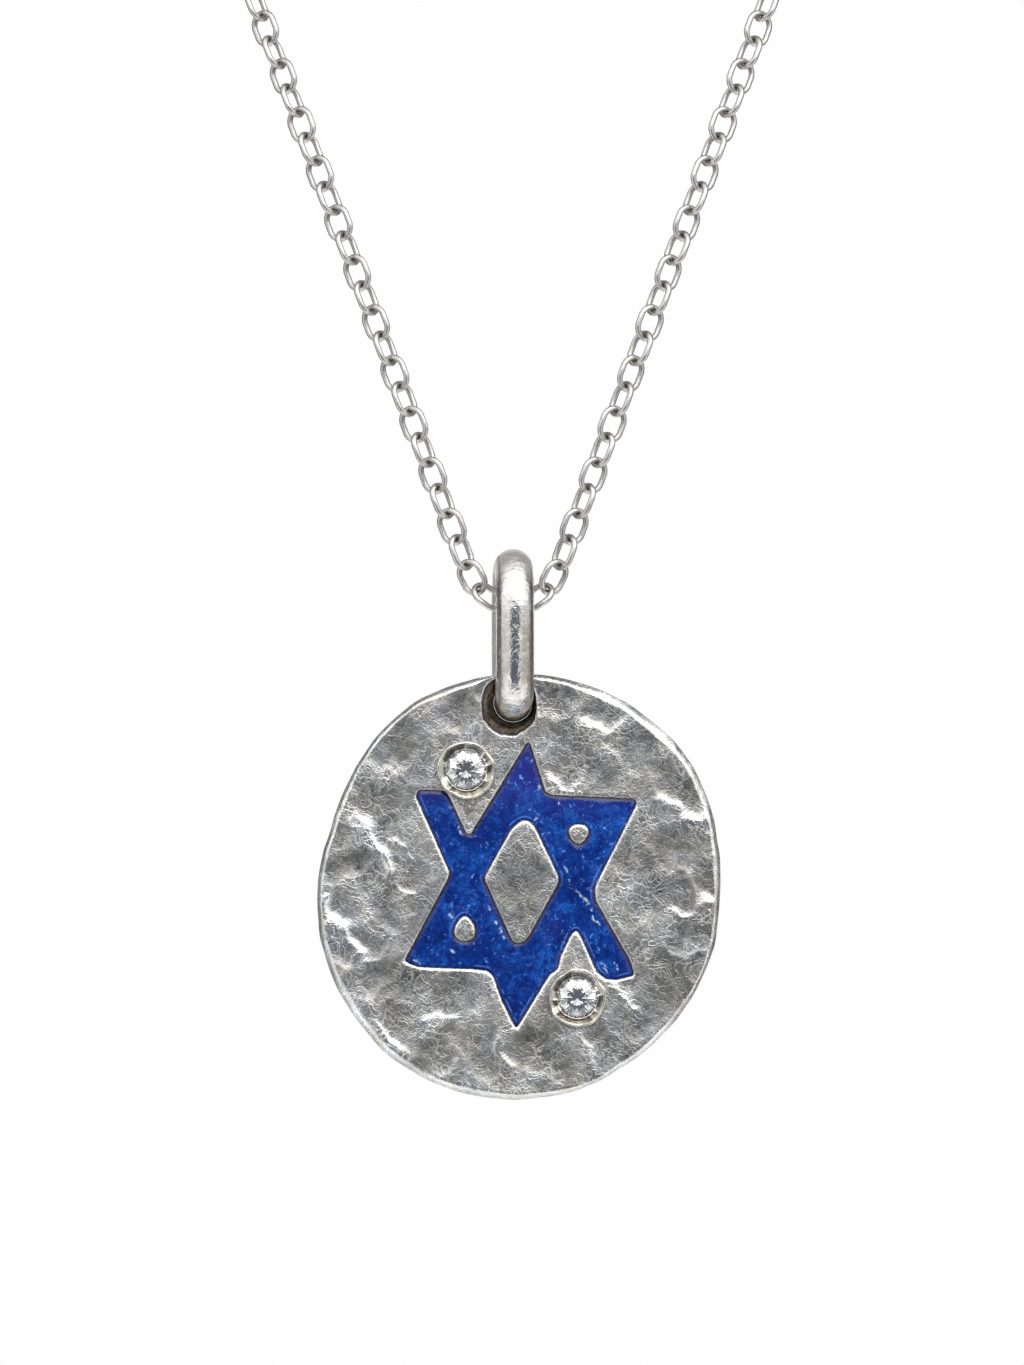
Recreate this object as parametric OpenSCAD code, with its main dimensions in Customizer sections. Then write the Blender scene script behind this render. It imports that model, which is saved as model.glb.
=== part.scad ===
// Tag pendant on a fine cable chain. A hammered silver tag carries a six-pointed star in blue enamel and two
// bezel-set stones. It hangs from a plain oval bail, and the chain goes all the way round the neck.
// Millimetres. +Z is up and the tag's front looks along -Y. The origin is at the nape, where the chain hangs.

/* [Tag] */
// Mean diameter of the hammered outline
tag_d = 26; // [25.8:0.1:27]
// Thickness of the sheet
tag_t = 1.5; // [1.3:0.1:1.6]
// Width of the worn bevel round both rims
rim_bevel = 0.25; // [0.1:0.05:0.35]
// Depth of the hammer dents, 1 being as listed
dent_strength = 1; // [0.5:0.1:1.3]
// Diameter of the bore for the bail, at its narrowest
bore_d = 2.7; // [2.68:0.01:2.72]
// Diameter of that bore's flared mouth in front
mouth_d = 3.48; // [3.46:0.01:3.5]
// Diameter of its mouth at the back
back_mouth_d = 3; // [2.98:0.01:3.02]

/* [Enamel] */
// Depth of the recess for the enamel
recess_depth = 0.6; // [0.4:0.1:0.7]
// Gap between the enamel and its recess
enamel_gap = 0.04; // [0.03:0.01:0.08]

/* [Settings] */
// Diameter of each stone at its girdle
stone_d = 2.5; // [2.2:0.1:2.6]
// Outer diameter of each bezel collar
bezel_d = 3.6; // [3.5:0.1:3.7]
// Gap between a stone and its collar
stone_gap = 0.05; // [0.04:0.01:0.06]

/* [Bail] */
// Height of the bail outside
bail_h = 10.8; // [10.4:0.1:11.4]
// Depth of the bail outside, front to back
bail_depth = 7.8; // [7.6:0.1:8.6]
// Diameter of the bail's wire
bail_wire = 2.4; // [2.2:0.1:2.4]
// Turn of the bail on the chain, seen from above
bail_yaw = 2; // [0:1:3]

/* [Chain] */
// Outer width of a link
link_w = 1.92; // [1.86:0.02:1.92]
// Diameter of a link's wire
link_wire = 0.32; // [0.28:0.01:0.34]
// Length of chain that each link adds
link_pitch = 1.71; // [1.68:0.01:1.75]
// Play between two links that hold each other
link_play = 0.11; // [0.1:0.01:0.14]
// Turn of the first link about the chain, from flat to the front
link_turn = 37; // [30:1:45]
// Links up each side of the front, past the middle link
front_links = 28; // [26:1:29]

/* [Loop round the neck] */
// Slope of the first link beside the middle one, off the level
first_rise = 35; // [30:1:40]
// Slope of the second link beside the middle one, off the level
second_rise = 64; // [60:1:66]
// Sideways run of the chain for 1 mm of rise
side_run = 0.372; // [0.34:0.002:0.4]
// Lean of the chain back to the chest, in 1/mm
lean_back = 0.0051; // [0.004:0.0001:0.006]
// Height of the nape over the middle link
nape_rise = 92; // [88:1:98]
// Distance of the nape behind the middle link
nape_back = 118; // [114:1:124]
// Pull of the loop along the chest
chest_pull = 64; // [58:1:72]
// Pull of the loop across the nape
nape_pull = 97; // [88:1:104]

/* [Clasp] */
// Outer diameter of the clasp's ring
clasp_d = 6; // [5.5:0.5:6.5]
// Diameter of the clasp's wire
clasp_wire = 1; // [0.9:0.1:1]
// Outer diameter of the clasp's eye
eye_d = 2; // [1.9:0.1:2.2]
// Diameter of the eye's wire
eye_wire = 0.5; // [0.4:0.05:0.5]

/* [Hidden] */
$fn = 96;
skin = 0.001;

// The chain's lowest point inside the bail is the zero of the pendant's own heights.
bail_clear = 0.11;
bail_top = link_w / 2 + bail_clear + bail_wire;
bail_mid = bail_top - bail_h / 2;
bail_wire_z = bail_top - bail_h + bail_wire / 2;

// The tag's bore goes round the bail's wire, on its middle. The mouth in front is worn lower and to the left.
bore_at = [-0.41, 11.554];
mouth_at = [-0.57, 11.34];
tag_x = -bore_at[0];
tag_z = bail_wire_z - bore_at[1];

// The outline is a circle with slow waves, left by the hammer. Columns: waves in a turn, height, angle of a crest.
outline_waves = [
    [1, 0.05, 78],
    [2, 0.40, 77],
    [3, 0.06, -15],
    [4, 0.08, 34],
    [5, 0.07, -27],
    [7, 0.04, -22]
];
outline_points = 72;

// Hammer dents on the front, from the tag's middle. Columns: x, y, radius, depth.
dents = [
    [-9.2, 5.2, 1.9, 0.15],
    [-7.9, 8.2, 1.6, 0.12],
    [-3.6, 11.1, 1.4, 0.13],
    [5.5, 10.8, 1.5, 0.16],
    [3.3, 9.6, 1.6, 0.10],
    [7.7, 9.2, 1.5, 0.14],
    [10.4, 5.6, 1.8, 0.17],
    [10.3, 2.4, 1.3, 0.12],
    [7.6, -1.0, 2.0, 0.11],
    [10.7, -2.4, 1.3, 0.15],
    [9.2, -6.2, 2.1, 0.14],
    [5.6, -9.9, 1.8, 0.12],
    [0.4, -10.6, 1.6, 0.14],
    [-3.6, -7.2, 1.8, 0.13],
    [-5.6, -10.2, 1.7, 0.15],
    [-8.6, -7.4, 1.5, 0.12],
    [-11.2, -3.8, 1.4, 0.16],
    [-8.8, -0.6, 1.9, 0.11],
    [-11.4, 1.0, 1.2, 0.14]
];

// Corners of the star, clockwise from the top point. Two of its six arms end open, at upper left and lower right.
star_corners = [
    [0.55, 9.1],
    [1.42, 6.4],
    [1.55, 5.95],
    [1.95, 5.72],
    [7.1, 5.5],
    [7.27, 5.25],
    [4.85, 0.5],
    [4.63, -0.1],
    [4.68, -0.8],
    [6.85, -4.6],
    [7.1, -5.45],
    [6, -5.72],
    [5.35, -5.65],
    [4.85, -5.25],
    [4, -3.3],
    [3.75, -2.82],
    [3.5, -2.65],
    [3.2, -2.85],
    [2.5, -4.3],
    [2.35, -5.05],
    [1.85, -5.4],
    [1.4, -6.1],
    [-0.22, -8.75],
    [-1.02, -7.15],
    [-1.62, -5.5],
    [-2, -5.15],
    [-2.9, -5.05],
    [-6.3, -4.92],
    [-7.15, -4.6],
    [-4.42, 0.55],
    [-4.32, 0.9],
    [-4.45, 1.25],
    [-6.42, 5.7],
    [-6.3, 6.05],
    [-4.75, 6],
    [-4.5, 5.78],
    [-3.38, 3.35],
    [-3.05, 3.28]
];

// Silver left standing in the star. The middle one has corners, clockwise from its top.
middle_island = [
    [0.1, 4.24],
    [0.55, 4.24],
    [1.03, 3.75],
    [2.48, 0.72],
    [2.48, 0.3],
    [0.6, -3.12],
    [0.2, -3.5],
    [-0.45, -3.5],
    [-2.3, 0.6],
    [-0.52, 3.77]
];

// The two small ones are eggs. Columns: x, y, half width, half height, taper towards the top.
small_islands = [
    [3.68, 3.34, 0.66, 0.67, -0.25],
    [-3.43, -2.56, 0.69, 0.83, 0.3]
];
egg_points = 20;

// Settings, from the tag's middle. Columns: x, y.
upper_setting = [-3.35, 7.33];
lower_setting = [3.6, -6.9];

// A brilliant of 57 facets: heights from the tag's face, radii as shares of the girdle's.
stone_r = stone_d / 2;
girdle_z = 0.33;
girdle_h = 0.06;
table_share = 0.56;
crown_share = 0.8;
pavilion_share = 0.28;
crown_h = 0.3 * stone_r;
pavilion_h = 0.86 * stone_r;
mid_turn = 22.5;
culet_r = 0.02;

// A collar and the room in it, heights from the tag's face.
collar_root = 0.4;
wall_z = 0.3;
shoulder_z = 0.58;
lip_z = 0.66;
shoulder_in = 0.1;
lip_in = 0.24;
lip_hold = 0.04;
lip_flare = 0.22;
lip_edge_h = 0.03;
seat_r = 0.76 * stone_r;
seat_z = 0.02;
seat_floor = girdle_z - pavilion_h - 0.12;
above = 1;

// Links and the loop
link_in = link_pitch + link_play;
link_h = link_in + 2 * link_wire;
link_sides = 40;
bend_slack = 0.1;
tube_sides = 8;
tube_rings = 35;
tube_r = link_w / 2;
end_gap = 0.15;
clasp_reach = (clasp_d + eye_d - eye_wire / 2) / 2;
neck_middle = [0, nape_back / 2, nape_rise - 40];
bail_sides = 96;

function unit(v) = v / norm(v);

// Radius of the tag's outline at an angle, with its waves.
function outline_r(angle) =
    tag_d / 2 + [for (w = outline_waves) w[1] * cos(w[0] * (angle - w[2]))] * [for (w = outline_waves) 1];

function outline(inset) =
    [for (i = [0 : outline_points - 1])
        let (angle = i * 360 / outline_points)
        (outline_r(angle) - inset) * [cos(angle), sin(angle)]];

function egg(row, grow) =
    [for (i = [0 : egg_points - 1])
        let (angle = -i * 360 / egg_points)
        [row[0] + (row[2] + grow) * cos(angle) * (1 - row[4] * sin(angle)), row[1] + (row[3] + grow) * sin(angle)]];

// Moves the corners of a clockwise outline inwards by a distance, each along its mitre.
function inward(a, b) = let (d = unit(b - a)) [d[1], -d[0]];

function inset_corners(corners, distance) =
    [for (i = [0 : len(corners) - 1])
        let (
            last = len(corners),
            before = inward(corners[(i + last - 1) % last], corners[i]),
            after = inward(corners[i], corners[(i + 1) % last])
        )
        corners[i] + distance * (before + after) / (1 + before * after)];

// Direction of a link on the right side, by its number above the middle link and the height of its lower end.
function heading(number, height) =
    number == 1 ? [cos(first_rise), 0, sin(first_rise)]
    : number == 2 ? [cos(second_rise), 0, sin(second_rise)]
    : unit([side_run, 2 * lean_back * height, 1]);

// Points where the links meet on the right side, from the middle link upwards. The link at the sharpest bend
// has slack, so that its neighbours stay clear of it.
function link_ends(done) =
    len(done) > front_links ? done
    : let (
        number = len(done),
        last = done[number - 1],
        step = number == 1 ? link_pitch - bend_slack : link_pitch
      )
      link_ends(concat(done, [last + step * heading(number, last[2])]));

ends = link_ends([[link_pitch / 2, 0, 0]]);

// The hidden way round the neck, from the last front link to the clasp: one cubic curve.
last_end = ends[front_links];
last_heading = unit(last_end - ends[front_links - 1]);
way = [
    last_end + (link_wire + link_play / 2 + end_gap) * last_heading,
    last_end + chest_pull * last_heading,
    [clasp_reach + nape_pull, nape_back, nape_rise],
    [clasp_reach + end_gap, nape_back, nape_rise]
];

function way_at(t) =
    pow(1 - t, 3) * way[0] + 3 * pow(1 - t, 2) * t * way[1] + 3 * (1 - t) * t * t * way[2] + pow(t, 3) * way[3];

function way_heading(t) =
    unit(pow(1 - t, 2) * (way[1] - way[0]) + 2 * (1 - t) * t * (way[2] - way[1]) + t * t * (way[3] - way[2]));

// One ring of points round the way, with its first point on the side away from the neck's middle.
function way_ring(t) =
    let (
        middle = way_at(t),
        along = way_heading(t),
        away = middle - neck_middle,
        out = unit(away - (away * along) * along),
        across = cross(along, out)
    )
    [for (i = [0 : tube_sides - 1])
        let (angle = i * 360 / tube_sides)
        middle + tube_r * (cos(angle) * out + sin(angle) * across)];

// Puts the pendant's own frame where the chain holds it, in front of and below the nape.
module at_bail() {
    translate([0, -nape_back, -nape_rise]) children();
}

// Stands a flat drawing of the tag upright, with its back at z = 0 and its front at z = tag_t before the turn.
module at_tag() {
    at_bail() translate([tag_x, tag_t / 2, tag_z]) rotate([90, 0, 0]) children();
}

// Upright oval ring of round wire, in the XZ plane about its own middle.
module oval_ring(height, width, wire, sides) {
    bend = (width - wire) / 2;
    straight = height - width;
    for (up = [0, 180])
        rotate([0, up, 0]) translate([0, 0, straight / 2]) rotate([90, 0, 0])
            rotate_extrude(angle = 180, $fn = sides) translate([bend, 0]) circle(d = wire, $fn = sides);
    for (x = [-bend, bend])
        translate([x, 0, -straight / 2]) cylinder(d = wire, h = straight, $fn = sides);
}

module round_ring(diameter, wire) {
    rotate([90, 0, 0]) rotate_extrude() translate([(diameter - wire) / 2, 0]) circle(d = wire);
}

// Outline of the star at a distance inside its recess's walls.
module star_drawing(gap) {
    difference() {
        polygon(inset_corners(star_corners, gap));
        polygon(inset_corners(middle_island, -gap));
        for (row = small_islands) polygon(egg(row, gap));
    }
}

// Sheet with a bevel round both rims.
module tag_blank() {
    hull() {
        translate([0, 0, rim_bevel]) linear_extrude(tag_t - 2 * rim_bevel) polygon(outline(0));
        linear_extrude(tag_t) polygon(outline(rim_bevel));
    }
}

module tag_dents() {
    for (row = dents) {
        depth = row[3] * dent_strength;
        ball_r = (row[2] * row[2] + depth * depth) / (2 * depth);
        translate([row[0], row[1], tag_t + ball_r - depth]) sphere(r = ball_r);
    }
}

// True bore for the bail. It is narrowest half way through the sheet, a cone to the back and a slanting flare in front.
module bail_hole() {
    half = tag_t / 2;
    at_bore = [bore_at[0], bore_at[1], 0];
    translate(at_bore - [0, 0, above]) cylinder(d = bore_d, h = tag_t + 2 * above);
    translate(at_bore - [0, 0, skin]) cylinder(d1 = back_mouth_d, d2 = bore_d, h = half + skin);
    hull() {
        translate(at_bore + [0, 0, half]) cylinder(d = bore_d, h = skin);
        translate([mouth_at[0], mouth_at[1], tag_t]) cylinder(d = mouth_d, h = skin);
    }
}

// Collar of a setting, on its root in the sheet.
module collar() {
    r = bezel_d / 2;
    rotate_extrude() polygon([
        [0, -collar_root],
        [r, -collar_root],
        [r, wall_z],
        [r - shoulder_in, shoulder_z],
        [r - lip_in, lip_z],
        [0, lip_z]
    ]);
}

// Room for a stone in its collar: the seat, the girdle's groove and the sloping mouth of the lip.
module stone_room() {
    groove_r = stone_r + stone_gap;
    groove_top = girdle_z + girdle_h + stone_gap;
    rotate_extrude() polygon([
        [0, seat_floor],
        [seat_r, seat_floor],
        [seat_r, seat_z],
        [groove_r, girdle_z - stone_gap],
        [groove_r, groove_top],
        [stone_r - lip_hold, groove_top + lip_edge_h],
        [stone_r + lip_flare, lip_z + skin],
        [stone_r + lip_flare, lip_z + above],
        [0, lip_z + above]
    ]);
}

// Brilliant cut: table, crown, girdle of 16 sides, pavilion and culet.
module brilliant() {
    crown_fall = crown_h / (1 - table_share);
    crown_mid = crown_fall * (1 - crown_share * cos(mid_turn));
    pavilion_mid = pavilion_h * (1 - pavilion_share * cos(mid_turn));
    hull() {
        translate([0, 0, girdle_z]) cylinder(r = stone_r, h = girdle_h, $fn = 16);
        translate([0, 0, girdle_z + girdle_h + crown_h - skin])
            cylinder(r = table_share * stone_r, h = skin, $fn = 8);
        translate([0, 0, girdle_z + girdle_h + crown_mid - skin]) rotate(mid_turn)
            cylinder(r = crown_share * stone_r, h = skin, $fn = 8);
        translate([0, 0, girdle_z - pavilion_mid]) rotate(mid_turn)
            cylinder(r = pavilion_share * stone_r, h = skin, $fn = 8);
        translate([0, 0, girdle_z - pavilion_h]) cylinder(r = culet_r, h = skin, $fn = 8);
    }
}

module tag() {
    color("darkgray") at_tag() difference() {
        union() {
            difference() {
                tag_blank();
                tag_dents();
                translate([0, 0, tag_t - recess_depth]) linear_extrude(recess_depth + above) star_drawing(0);
                bail_hole();
            }
            for (place = [upper_setting, lower_setting])
                translate([place[0], place[1], tag_t]) collar();
        }
        for (place = [upper_setting, lower_setting])
            translate([place[0], place[1], tag_t]) stone_room();
    }
}

module enamel_star() {
    color("mediumblue") at_tag()
        translate([0, 0, tag_t - recess_depth + enamel_gap])
            linear_extrude(recess_depth - 2 * enamel_gap) star_drawing(enamel_gap);
}

module stone(place) {
    color("aliceblue") at_tag() translate([place[0], place[1], tag_t]) brilliant();
}

module bail() {
    color("silver") at_bail() translate([0, 0, bail_mid]) rotate([0, 0, 90 + bail_yaw])
        oval_ring(bail_h, bail_depth, bail_wire, bail_sides);
}

// One link between two points, turned about the chain: every other link stands across its neighbours.
module link(from, to, turn) {
    along = unit(to - from);
    compass = atan2(along[1], along[0]);
    translate((from + to) / 2) rotate([0, acos(along[2]), compass]) rotate([0, 0, turn - compass])
        oval_ring(link_h, link_w, link_wire, link_sides);
}

// The stretch in front: the middle link lies in the bail, and both sides rise from it in mirror image.
module chain_front() {
    color("gainsboro") at_bail() {
        link([-link_pitch / 2, 0, 0], ends[0], link_turn);
        for (side = [0, 1]) mirror([side, 0, 0])
            for (i = [1 : front_links]) link(ends[i - 1], ends[i], link_turn + 90 * (i % 2));
    }
}

// The hidden stretch of the chain, as a plain tube of the chain's own width on each side.
module chain_back() {
    points = [for (i = [0 : tube_rings - 1]) each way_ring(i / (tube_rings - 1))];
    last_ring = (tube_rings - 1) * tube_sides;
    sides = [for (i = [0 : tube_rings - 2], j = [0 : tube_sides - 1])
        let (a = i * tube_sides + j, b = i * tube_sides + (j + 1) % tube_sides)
        [a, a + tube_sides, b + tube_sides, b]];
    start_face = [for (j = [0 : tube_sides - 1]) j];
    end_face = [for (j = [tube_sides - 1 : -1 : 0]) last_ring + j];
    color("gainsboro") at_bail()
        for (side = [0, 1]) mirror([side, 0, 0])
            polyhedron(points, concat([start_face], sides, [end_face]));
}

// Ring and eye in one piece, lying flat against the nape.
module clasp() {
    ring_x = clasp_reach - clasp_d / 2;
    color("gainsboro") {
        translate([ring_x, 0, 0]) round_ring(clasp_d, clasp_wire);
        translate([eye_d / 2 - clasp_reach, 0, 0]) round_ring(eye_d, eye_wire);
    }
}

tag();
enamel_star();
stone(upper_setting);  // upper_stone
stone(lower_setting);  // lower_stone
bail();
chain_front();
chain_back();
clasp();
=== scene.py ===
"""Tag pendant: a hammered silver tag with a blue enamel star and two stones, on an oval bail and a chain.

Shapes are worked out in millimetres, in the pendant's own drawing, and become metres in make_piece().
"""

import math

import bpy
import numpy as np
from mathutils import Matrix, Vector
from mathutils.geometry import delaunay_2d_cdt


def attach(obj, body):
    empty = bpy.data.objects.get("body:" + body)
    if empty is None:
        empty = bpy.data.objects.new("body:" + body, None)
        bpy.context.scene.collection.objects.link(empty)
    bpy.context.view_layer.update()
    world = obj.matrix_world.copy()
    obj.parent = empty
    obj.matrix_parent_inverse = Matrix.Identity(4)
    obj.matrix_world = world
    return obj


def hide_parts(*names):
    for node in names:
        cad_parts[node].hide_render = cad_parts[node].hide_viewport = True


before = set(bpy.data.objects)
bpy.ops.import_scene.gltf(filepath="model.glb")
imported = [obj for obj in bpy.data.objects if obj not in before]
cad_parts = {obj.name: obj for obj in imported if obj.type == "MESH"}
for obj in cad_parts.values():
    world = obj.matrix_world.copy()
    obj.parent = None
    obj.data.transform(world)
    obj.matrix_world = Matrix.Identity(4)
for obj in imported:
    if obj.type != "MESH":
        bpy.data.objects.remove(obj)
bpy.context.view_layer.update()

MM = 0.001
TURN = 2 * math.pi

# Where the pendant's own drawing lies under the nape: the middle link is its zero.
BAIL_AT = np.array([0, -118, -92])
# The tag's flat drawing: x to the right, y up, z from the back of the sheet to its front.
TAG_X, TAG_Z, TAG_T = 0.41, -17.684, 1.5

# The outline is a circle with slow waves. Columns: waves in a turn, height, angle of a crest.
OUTLINE_R = 13
OUTLINE_WAVES = np.array([
    [1, 0.05, 78], [2, 0.4, 77], [3, 0.06, -15], [4, 0.08, 34], [5, 0.07, -27], [7, 0.04, -22],
])
# Finer waves, where single hammer blows met the rim
RIM_RIPPLES = np.array([[13, 0.018, 10], [19, 0.016, 3], [29, 0.012, 8], [43, 0.008, 1]])
RIM_POINTS, RIM_INSET, RIM_DROP = 720, 0.42, 0.46
# The rim's front edge: a round part, then a steep flat. Columns: share of the inset, share of the drop.
RIM_EDGE = np.array([
    [0.08, 0.01], [0.2, 0.05], [0.33, 0.12], [0.46, 0.22], [0.56, 0.33], [0.68, 0.5], [0.8, 0.68],
    [0.92, 0.87], [1, 1],
])

# The hole for the bail: a ragged mouth in front, a round bore, and a cone to the back
MOUTH_AT = np.array([-0.655, 11.34])
MOUTH_HALF, MOUTH_ABOVE, MOUTH_BELOW = 1.69, 1.74, 1.8
BORE_AT = np.array([-0.41, 11.554])
BORE_R, BORE_TOP, BORE_LOW, BACK_MOUTH_R = 1.216, 0.8, 0.7, 1.47
HOLE_LIP, HOLE_DROP, HOLE_POINTS = 0.17, 0.2, 132
# Greatest share of the metal between hole and rim that one lip takes
LIP_SHARE = 0.42
# How the flare narrows, and the share of a net's step that its points keep from its edges
FLARE_POWER, NET_CLEAR = 0.8, 0.6
# Width of the rim's edge: least share, what a bend adds, and the angle of the bend in degrees
RIM_LEAST, RIM_MORE, RIM_WIDEST = 0.8, 0.5, 48
LIP_WAVER = [(0.25, 3, 1)]
# Waves in the mouth's lower edge and in the width of the rim's edge: height, k for the angle, start
MOUTH_RAGGED = (0.022, 9, 1), (0.016, 14, 2.2), (0.012, 23, 0)
RIM_WORK = (0.12, 7, 1), (0.09, 17, 0)
# A rolled edge, a quarter ellipse, in the same shares
ROLLED_EDGE = [(math.sin(a), 1 - math.cos(a)) for a in np.radians([15, 30, 45, 60, 75, 90])]
# Wear and patina of the rings of points down the rim and the hole, with painted shade in the hole: numbers of
# rings, then values
RIM_WORN = [0, 1, 4, 6, 8, 9], [0.6, 0.85, 0.8, 0.45, 0.4, 0.35]
RIM_PATINA = [3, 5, 8, 9], [0, 0.25, 0.25, 0.4]
HOLE_WORN = [0, 1, 3, 4], [0.5, 0.9, 0.6, 0]
# Painted shade down the hole, dark brown, darkest a little way into the flare
HOLE_SHADE = [2, 4, 5, 6, 7, 8, 9, 10, 12], [0, 1.2, 1.4, 1.8, 2.9, 2.4, 1, 1.4, 2]
# Height over which a point of the sheet counts as its front
FRONT_FROM = 1

# Hollows left by the hammer. Columns: x, y, radius, depth.
HOLLOWS = np.array([
    [-4, 11.1, 1.3, 0.13], [-7.7, 9.1, 1.5, 0.12], [-8.9, 8, 1, 0.08], [5.2, 11, 1.2, 0.16],
    [2, 11.9, 1.3, 0.12], [3.2, 8.2, 1.9, 0.12], [7.7, 8.8, 1.7, 0.13], [5.4, 7.1, 1.3, 0.08],
    [-9.1, 5.5, 1.6, 0.14], [-8.5, 3.4, 1.2, 0.13], [-10.8, 1.5, 1.2, 0.13], [-9.2, 0.2, 1.1, 0.11],
    [-8.4, -1.1, 1.2, 0.12], [-7, 0.9, 1.2, 0.07], [-11.1, -1.5, 1, 0.13], [-9.7, -3.3, 1.1, 0.14],
    [-9.2, -5.8, 1.4, 0.12], [-7.2, -6.1, 1.3, 0.12], [-4, -6.6, 1.7, 0.12], [-5.5, -10.5, 1.5, 0.15],
    [-7.6, -8.3, 1.2, 0.1], [-4.3, -9.5, 1, 0.08], [-2.3, -10.4, 1.3, 0.12], [0.9, -9.9, 1.4, 0.12],
    [2.1, -10.9, 1.3, 0.13], [5.6, -9.9, 1.5, 0.13], [7, -8.6, 1.3, 0.12], [9, -6.2, 1.9, 0.14],
    [10.9, -2.7, 1.3, 0.16], [9.6, -0.7, 1.2, 0.09], [7.9, -0.9, 1.4, 0.11], [7.2, 1.7, 1.6, 0.09],
    [10.2, 2.6, 1.6, 0.12], [10.7, 5.6, 1.5, 0.16], [9.1, 7, 1.2, 0.1], [-6, -1.2, 1.3, 0.08],
    [-6.2, 7.6, 1.2, 0.07], [-11.6, 3.9, 1.2, 0.09], [-11.3, -3.9, 0.9, 0.11], [-6.8, 5, 1.2, 0.06],
    [7.2, -5.2, 1.3, 0.08], [11.8, 0.6, 1, 0.1], [0.2, 0.6, 1.7, 0.07], [0.4, -1.9, 1.2, 0.05],
    [-3.4, 4.7, 0.8, 0.06], [-9.8, -8, 1, 0.08], [4, -4, 0.7, 0.05], [-0.9, -12, 1, 0.08],
    [11.3, -5.2, 1, 0.09], [-1.9, 12.2, 0.8, 0.08],
])
# Ridges that stood between two blows. Columns: x and y of one end, x and y of the other, half width, height.
RIDGES = np.array([
    [-9.7, 4.5, -9.3, 2.9, 0.26, 0.09], [-9.3, 2.9, -8.3, 0.9, 0.2, 0.08],
    [-7.9, 2.7, -6.6, 1.6, 0.11, 0.05], [-12.2, -0.7, -12.1, -2.4, 0.24, 0.08],
    [-12.1, -2.4, -10.4, -4, 0.28, 0.12], [-9.5, -2.2, -8.7, -2.9, 0.13, 0.06],
    [8.4, 5.7, 9.6, 5.1, 0.18, 0.06], [9.6, 5.1, 10.3, 4, 0.22, 0.08], [10.3, 4, 12.3, 4.3, 0.34, 0.1],
    [10, 3.7, 11.6, 3.1, 0.18, 0.06], [1.9, 6.5, 2.8, 5.95, 0.2, 0.07], [2.9, 5.95, 3.5, 6.7, 0.14, 0.05],
    [4.4, 9.8, 6.3, 10.1, 0.2, 0.06], [-9.7, 7.7, -8.4, 7.3, 0.24, 0.05],
    [-5.7, -7.9, -4.1, -8.2, 0.18, 0.05], [6, -6.4, 7.5, -7.3, 0.2, 0.07],
    [-8.9, -8.8, -7.3, -10.4, 0.24, 0.07], [-1.3, -9.3, -0.6, -11.3, 0.2, 0.05],
    [9.6, -1.6, 11.6, -1.6, 0.2, 0.07], [11.8, -0.4, 10.9, -1.2, 0.18, 0.06],
    [-7.6, 0, -6.6, -0.1, 0.14, 0.05], [3.6, -9, 4.3, -10.6, 0.16, 0.05],
    [-10.4, 6.9, -10.7, 5, 0.18, 0.05],
])
# How much wider and deeper the hollows come out, and the small blows between them
HOLLOW_WIDER, HOLLOW_DEEPER = 1.25, 1.15
SMALL_BLOWS, BLOW_SEED, BLOW_REACH, BLOW_BLEND = 230, 11, 13.2, 0.007
# Waves that push the blows about, sideways and then upwards: height, k for x, k for y, start
WANDER = (
    [(0.26, 0.5, 1.1, 1), (0.15, -1.5, 2.5, 0), (0.07, 2.7, 5.3, 2)],
    [(0.26, 1, -0.7, 2), (0.15, 2.7, 1.7, 1), (0.07, 5.1, -3.9, 0)],
)
# How much of the ridges' height shows, how much wider they come out, and how far the face stands up
RIDGE_SHARE, RIDGE_WIDER, FACE_RISE = 0.95, 1.3, 0.03
# Share of the relief that shows on the back, and beside the enamel, where it fades over a width
BACK_SHARE, BESIDE_SHARE, BESIDE_WIDTH = 0.35, 0.25, 0.5

# Corners of the star, clockwise from the top point
STAR_CORNERS = np.array([
    [0.55, 9.1], [1.42, 6.4], [1.55, 5.95], [1.95, 5.72], [7.1, 5.5], [7.27, 5.25], [4.85, 0.5], [4.63, -0.1],
    [4.68, -0.8], [6.85, -4.6], [7.1, -5.45], [6, -5.72], [5.35, -5.65], [4.85, -5.25], [4, -3.3],
    [3.75, -2.82], [3.5, -2.65], [3.2, -2.85], [2.5, -4.3], [2.35, -5.05], [1.85, -5.4], [1.4, -6.1],
    [-0.22, -8.75], [-1.02, -7.15], [-1.62, -5.5], [-2, -5.15], [-2.9, -5.05], [-6.3, -4.92], [-7.15, -4.6],
    [-4.42, 0.55], [-4.32, 0.9], [-4.45, 1.25], [-6.42, 5.7], [-6.3, 6.05], [-4.75, 6], [-4.5, 5.78],
    [-3.38, 3.35], [-3.05, 3.28],
])
MIDDLE_ISLAND = np.array([
    [0.1, 4.24], [0.55, 4.24], [1.03, 3.75], [2.48, 0.72], [2.48, 0.3], [0.6, -3.12], [0.2, -3.5],
    [-0.45, -3.5], [-2.3, 0.6], [-0.52, 3.77],
])
# Small islands are eggs. Columns: x, y, half width, half height, taper towards the top.
SMALL_ISLANDS = [(3.68, 3.34, 0.66, 0.67, -0.25), (-3.43, -2.56, 0.69, 0.83, 0.3)]
EGG_POINTS = 32
CORNER_CUT, ISLAND_CUT = 0.16, 0.25
# The recess's wall: distances from the enamel's edge, and heights from the face
WALL_AT = [-0.04, 0, 0.04, 0.09, 0.15, 0.22]
WALL_Z = [-0.6, -0.2, -0.125, -0.06, -0.018, 0]
WALL_CLEAR, WALL_STEP = 0.05, 0.075
# The enamel's underside, and how far its top lies under the face, and further at its edge
ENAMEL_FLOOR, ENAMEL_SUNK, EDGE_SUNK = -0.56, 0.075, 0.065
SWELL = (0.012, 1.9, 0.7, 0), (0.01, -1.1, 2.3, 1), (0.006, 5.1, 3.7, 0)
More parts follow.
